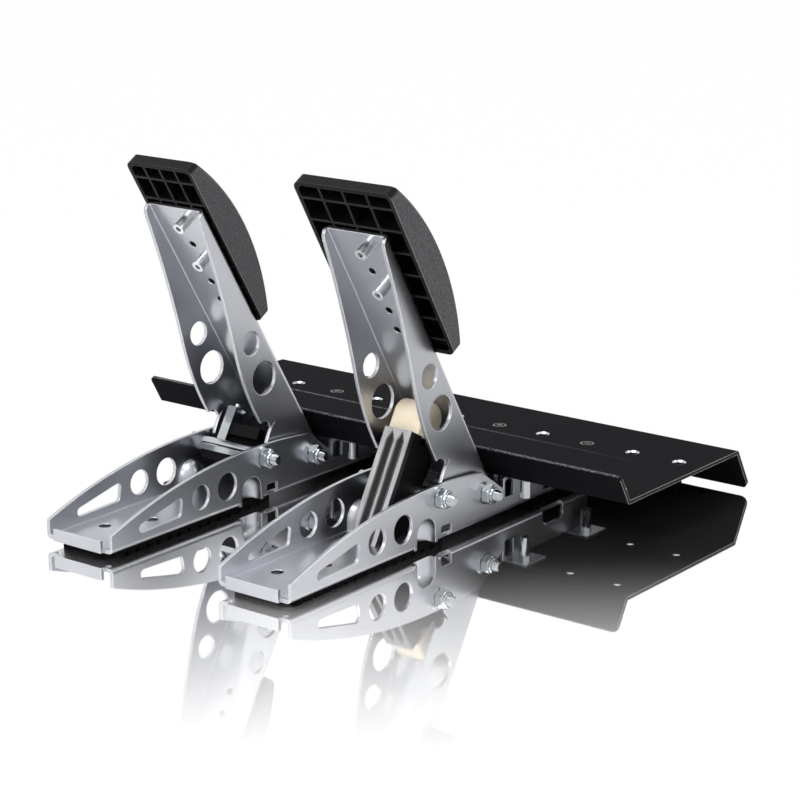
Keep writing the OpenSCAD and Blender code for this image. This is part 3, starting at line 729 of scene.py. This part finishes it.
def empty_holes():
    """The tops of the holes that no screw fills."""
    screw_low, screw_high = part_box("heel_plate_screws")
    top = screw_high.z + SCREW_SINK + RIM_LIFT
    used = [plane_x[side] + s * hole_pitch for side in SIDES for s in (-1, 1)]
    places = []
    for y in (screw_low.y + SCREW_HEAD_R, screw_high.y - SCREW_HEAD_R):
        for i in range(-HOLES_EACH_WAY, HOLES_EACH_WAY + 1):
            if all(abs(i * hole_pitch - x) > hole_pitch / 2 for x in used):
                places.append(Vector((i * hole_pitch, y, top)))
    return places


rim = rim_form()
rims = grown("heel_plate_rims", place_on_points, empty_holes(), Form=rim, Size=1.0, Finish=zinc)
smooth(rims)
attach(rims, "chassis")
for form in (bolt, nut, rim):
    bpy.data.objects.remove(form)
print("rims in", len(empty_holes()), "empty holes")

# %% [markdown]
# ## The elastomer bumper
#
# The brake presses on a moulded elastomer dome. It is drawn as an arch, swept across the column, with its
# two ends rounded by a quarter circle. The real dome flattens along the column, towards its seat, as the
# brake goes down; this piece keeps its rest shape.

# %% Bumper
BUMPER_R = 9.0 * MM
BUMPER_BACK = 13.0 * MM
BUMPER_EDGE = 1.6 * MM
BUMPER_SHARP_FROM = 50
ARC_STEPS = 40
END_STEPS = 8
bumper_half = width("brake_bumper", 0) / 2
bumper_seat = FACE_TOP - BUMPER_BACK * column_out + Vector((middle("brake_bumper").x, 0, 0))
dome_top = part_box("brake_bumper")[1].z
dome_rise = (dome_top - bumper_seat.z - BUMPER_R) / math.cos(FACE_LEAN)


def bumper_piece():
    shape = bmesh.new()
    stations = []
    for i in range(END_STEPS + 1):
        a = -math.pi / 2 + math.pi / 2 * i / END_STEPS
        stations.append((-bumper_half + BUMPER_EDGE * (1 + math.sin(a)), BUMPER_EDGE * (1 - math.cos(a))))
    stations += [(-x, inset) for x, inset in reversed(stations)]
    loops = []
    for x, inset in stations:
        r = BUMPER_R - inset
        outline = [(r, 0.0)]
        for i in range(ARC_STEPS + 1):
            a = math.pi * i / ARC_STEPS
            outline.append((r * math.cos(a), dome_rise + r * math.sin(a)))
        outline.append((-r, 0.0))
        centre = bumper_seat + Vector((x, 0, 0))
        loops.append([shape.verts.new(centre + column_out * y + column_axis * z) for y, z in outline])
    for low, high in zip(loops, loops[1:]):
        for j in range(len(low)):
            k = (j + 1) % len(low)
            shape.faces.new((low[j], low[k], high[k], high[j]))
    shape.faces.new(loops[0])
    shape.faces.new(loops[-1])
    bmesh.ops.recalc_face_normals(shape, faces=shape.faces)
    mesh = bpy.data.meshes.new("bumper_dome")
    shape.to_mesh(mesh)
    shape.free()
    piece = bpy.data.objects.new("bumper_dome", mesh)
    scene.collection.objects.link(piece)
    mesh.materials.append(elastomer)
    return piece


bumper = bumper_piece()
smooth(bumper, BUMPER_SHARP_FROM)
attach(bumper, "chassis")
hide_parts("brake_bumper")
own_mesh(bumper)
print("bumper rises", round((dome_rise + BUMPER_R) / MM, 1), "mm above its seat")

# %% [markdown]
# ## The return spring
#
# Inside the throttle's housing a wound spring pushes the plunger back. A spiral curve with a round profile
# is the direct way to draw it in Geometry Nodes, and its turns come from a named input.

# %% Spring
SPRING_TURNS = 5
SPRING_SHARP_FROM = 60
WIRE_R = 0.5 * MM
STEPS_PER_TURN = 32
WIRE_SIDES = 12
PLUNGER_AXIS = Vector((0, 0.85081, -0.52547))


def spring_tree():
    tree = bpy.data.node_groups.new("wound_spring", "GeometryNodeTree")
    tree.interface.new_socket("Geometry", in_out="INPUT", socket_type="NodeSocketGeometry")
    for name in ("Turns", "Radius", "Length", "Wire"):
        tree.interface.new_socket(name, in_out="INPUT", socket_type="NodeSocketFloat")
    tree.interface.new_socket("Finish", in_out="INPUT", socket_type="NodeSocketMaterial")
    tree.interface.new_socket("Geometry", in_out="OUTPUT", socket_type="NodeSocketGeometry")
    source = tree.nodes.new("NodeGroupInput")
    result = tree.nodes.new("NodeGroupOutput")
    spiral = tree.nodes.new("GeometryNodeCurveSpiral")
    spiral.inputs["Resolution"].default_value = STEPS_PER_TURN
    profile = tree.nodes.new("GeometryNodeCurvePrimitiveCircle")
    profile.inputs["Resolution"].default_value = WIRE_SIDES
    sweep = tree.nodes.new("GeometryNodeCurveToMesh")
    sweep.inputs["Fill Caps"].default_value = True
    realize = tree.nodes.new("GeometryNodeRealizeInstances")
    paint = tree.nodes.new("GeometryNodeSetMaterial")
    for a, b in ((source.outputs["Turns"], spiral.inputs["Rotations"]),
                 (source.outputs["Radius"], spiral.inputs["Start Radius"]),
                 (source.outputs["Radius"], spiral.inputs["End Radius"]),
                 (source.outputs["Length"], spiral.inputs["Height"]),
                 (source.outputs["Wire"], profile.inputs["Radius"]),
                 (spiral.outputs["Curve"], sweep.inputs["Curve"]),
                 (profile.outputs["Curve"], sweep.inputs["Profile Curve"]),
                 (sweep.outputs["Mesh"], realize.inputs["Geometry"]),
                 (realize.outputs["Geometry"], paint.inputs["Geometry"]),
                 (source.outputs["Finish"], paint.inputs["Material"]),
                 (paint.outputs["Geometry"], result.inputs["Geometry"])):
        tree.links.new(a, b)
    return tree


spring_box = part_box("throttle_spring")
spring_mid = (spring_box[0] + spring_box[1]) / 2
spring_r = (spring_box[1].x - spring_box[0].x) / 2 - WIRE_R
spring_drop = spring_box[1].y - spring_box[0].y - 2 * (spring_r + WIRE_R) * -PLUNGER_AXIS.z
spring_len = spring_drop / PLUNGER_AXIS.y - 2 * WIRE_R
spring = grown("return_spring", spring_tree(), [(0, 0, 0)], Turns=float(SPRING_TURNS), Radius=spring_r,
               Length=spring_len, Wire=WIRE_R, Finish=spring_wire)
along = PLUNGER_AXIS.to_track_quat("Z", "Y").to_matrix().to_4x4()
spring.data.transform(Matrix.Translation(spring_mid) @ along @ Matrix.Translation((0, 0, -spring_len / 2)))
smooth(spring, SPRING_SHARP_FROM)
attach(spring, "chassis")
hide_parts("throttle_spring")
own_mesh(spring)
print("spring", SPRING_TURNS, "turns,", round(spring_len / MM, 1), "mm long")

# %% [markdown]
# ## The stage
#
# The picture is a pack shot on a white, glossy floor: the part stands on its own mirror image, which fades
# towards the viewer. The floor mixes a white matt surface, which keeps the soft shadow, with a mirror.
# The mirror's share is full under the part and runs out across the floor in front of it. Far from the part
# it is full again, so that the floor runs into the white world. Like a polished sheet it only mirrors at a
# shallow angle. The world is white for camera, glossy and transmission rays, and dimmer for the light that
# falls on matt surfaces.

# %% Floor
FLOOR_HALF = 5.0
FLOOR_WHITE = (0.97, 0.97, 0.97, 1)
MIRROR_ROUGH = 0.03
MIRROR_FULL = 0.99
FADE_FROM = 0.08
FADE_TO = 0.42
FAR_FROM = 0.6
FAR_TO = 1.1
SHALLOW_FROM = 0.25
SHALLOW_TO = 0.55
TO_VIEWER = Vector((-0.611, 0.791, 0))


def stage_floor():
    mesh = bpy.data.meshes.new("studio_floor")
    corners = ((-1, -1), (1, -1), (1, 1), (-1, 1))
    mesh.from_pydata([(x * FLOOR_HALF, y * FLOOR_HALF, 0) for x, y in corners], [], [(0, 1, 2, 3)])
    floor = bpy.data.objects.new("studio_floor", mesh)
    scene.collection.objects.link(floor)
    f = Finish("studio_floor")
    matt = f.add("ShaderNodeBsdfDiffuse")
    matt.inputs["Color"].default_value = FLOOR_WHITE
    mirror = f.add("ShaderNodeBsdfGlossy")
    mirror.inputs["Color"].default_value = (1, 1, 1, 1)
    mirror.inputs["Roughness"].default_value = MIRROR_ROUGH
    fade = f.add("ShaderNodeMapRange", interpolation_type="SMOOTHSTEP")
    fade.inputs["From Min"].default_value = FADE_FROM
    fade.inputs["From Max"].default_value = FADE_TO
    fade.inputs["To Min"].default_value = MIRROR_FULL
    fade.inputs["To Max"].default_value = 0
    f.link(f.along(TO_VIEWER), fade.inputs["Value"])
    around = f.add("ShaderNodeVectorMath", operation="LENGTH")
    f.link(f.coords, around.inputs[0])
    horizon = f.span(around.outputs["Value"], 0, MIRROR_FULL, FAR_FROM, FAR_TO)
    slant = f.add("ShaderNodeLayerWeight")
    shallow = f.span(slant.outputs["Facing"], 0, 1, SHALLOW_FROM, SHALLOW_TO)
    share = f.both(f.both(fade.outputs["Result"], horizon, "MAXIMUM"), shallow)
    mix = f.add("ShaderNodeMixShader")
    f.link(share, mix.inputs["Fac"])
    f.link(matt.outputs["BSDF"], mix.inputs[1])
    f.link(mirror.outputs["BSDF"], mix.inputs[2])
    f.link(mix.outputs["Shader"], f.tree.nodes["Material Output"].inputs["Surface"])
    mesh.materials.append(f.material)


stage_floor()
print("floor mirror fades over", FADE_TO - FADE_FROM, "m")

# %% World and lamps
AMBIENT = 0.34
LAMP_AIM = Vector((0, 0.02, 0.08))


def studio_world():
    world = bpy.data.worlds.new("studio_world")
    world.use_nodes = True
    scene.world = world
    tree = world.node_tree
    sky = tree.nodes["Background"]
    sky.inputs["Color"].default_value = (1, 1, 1, 1)
    path = tree.nodes.new("ShaderNodeLightPath")
    seen = path.outputs["Is Camera Ray"]
    for ray in ("Is Glossy Ray", "Is Transmission Ray"):
        either = tree.nodes.new("ShaderNodeMath")
        either.operation = "MAXIMUM"
        tree.links.new(seen, either.inputs[0])
        tree.links.new(path.outputs[ray], either.inputs[1])
        seen = either.outputs[0]
    level = tree.nodes.new("ShaderNodeMapRange")
    level.inputs["To Min"].default_value = AMBIENT
    level.inputs["To Max"].default_value = 1.0
    tree.links.new(seen, level.inputs["Value"])
    tree.links.new(level.outputs["Result"], sky.inputs["Strength"])


def soft_lamp(name, place, size, power):
    lamp = bpy.data.lights.new(name, "AREA")
    lamp.shape = "RECTANGLE"
    lamp.size, lamp.size_y = size
    lamp.energy = power
    obj = bpy.data.objects.new(name, lamp)
    obj.location = place
    obj.rotation_euler = (LAMP_AIM - Vector(place)).to_track_quat("-Z", "Y").to_euler()
    scene.collection.objects.link(obj)


studio_world()
soft_lamp("key_lamp", place=(-1.3, -0.7, 1.2), size=(1.0, 0.8), power=8)
soft_lamp("front_lamp", place=(0.4, 1.5, 1.0), size=(0.8, 0.6), power=14)
soft_lamp("top_lamp", place=(0.1, 0.4, 1.8), size=(1.2, 1.2), power=20)
scene.view_settings.view_transform = "Standard"

# %% [markdown]
# ## The camera
#
# The lens, place and direction come from fitting a pinhole camera to the part's straight edges in the
# photograph. The roll is a fraction of a degree, but leaving it out would tilt the far edges by several
# pixels.

# %% Camera
LENS_MM = 110.3
SENSOR_MM = 36.0
CAMERA_PLACE = Vector((-0.8099, 1.0035, 0.4224))
CAMERA_FORWARD = Vector((0.58832, -0.76191, -0.27088)).normalized()
CAMERA_ROLL = math.radians(0.13)


def photo_camera():
    lens = bpy.data.cameras.new("photo_camera")
    lens.lens = LENS_MM
    lens.sensor_width = SENSOR_MM
    camera = bpy.data.objects.new("photo_camera", lens)
    right = CAMERA_FORWARD.cross(Vector(Z_AXIS)).normalized()
    right = Matrix.Rotation(CAMERA_ROLL, 3, CAMERA_FORWARD) @ right
    up = right.cross(CAMERA_FORWARD)
    turn = Matrix((right, up, -CAMERA_FORWARD)).transposed().to_4x4()
    camera.matrix_world = Matrix.Translation(CAMERA_PLACE) @ turn
    scene.collection.objects.link(camera)
    scene.camera = camera
    return camera


camera = photo_camera()
print("camera right axis", tuple(round(v, 5) for v in camera.matrix_world.col[0][:3]))
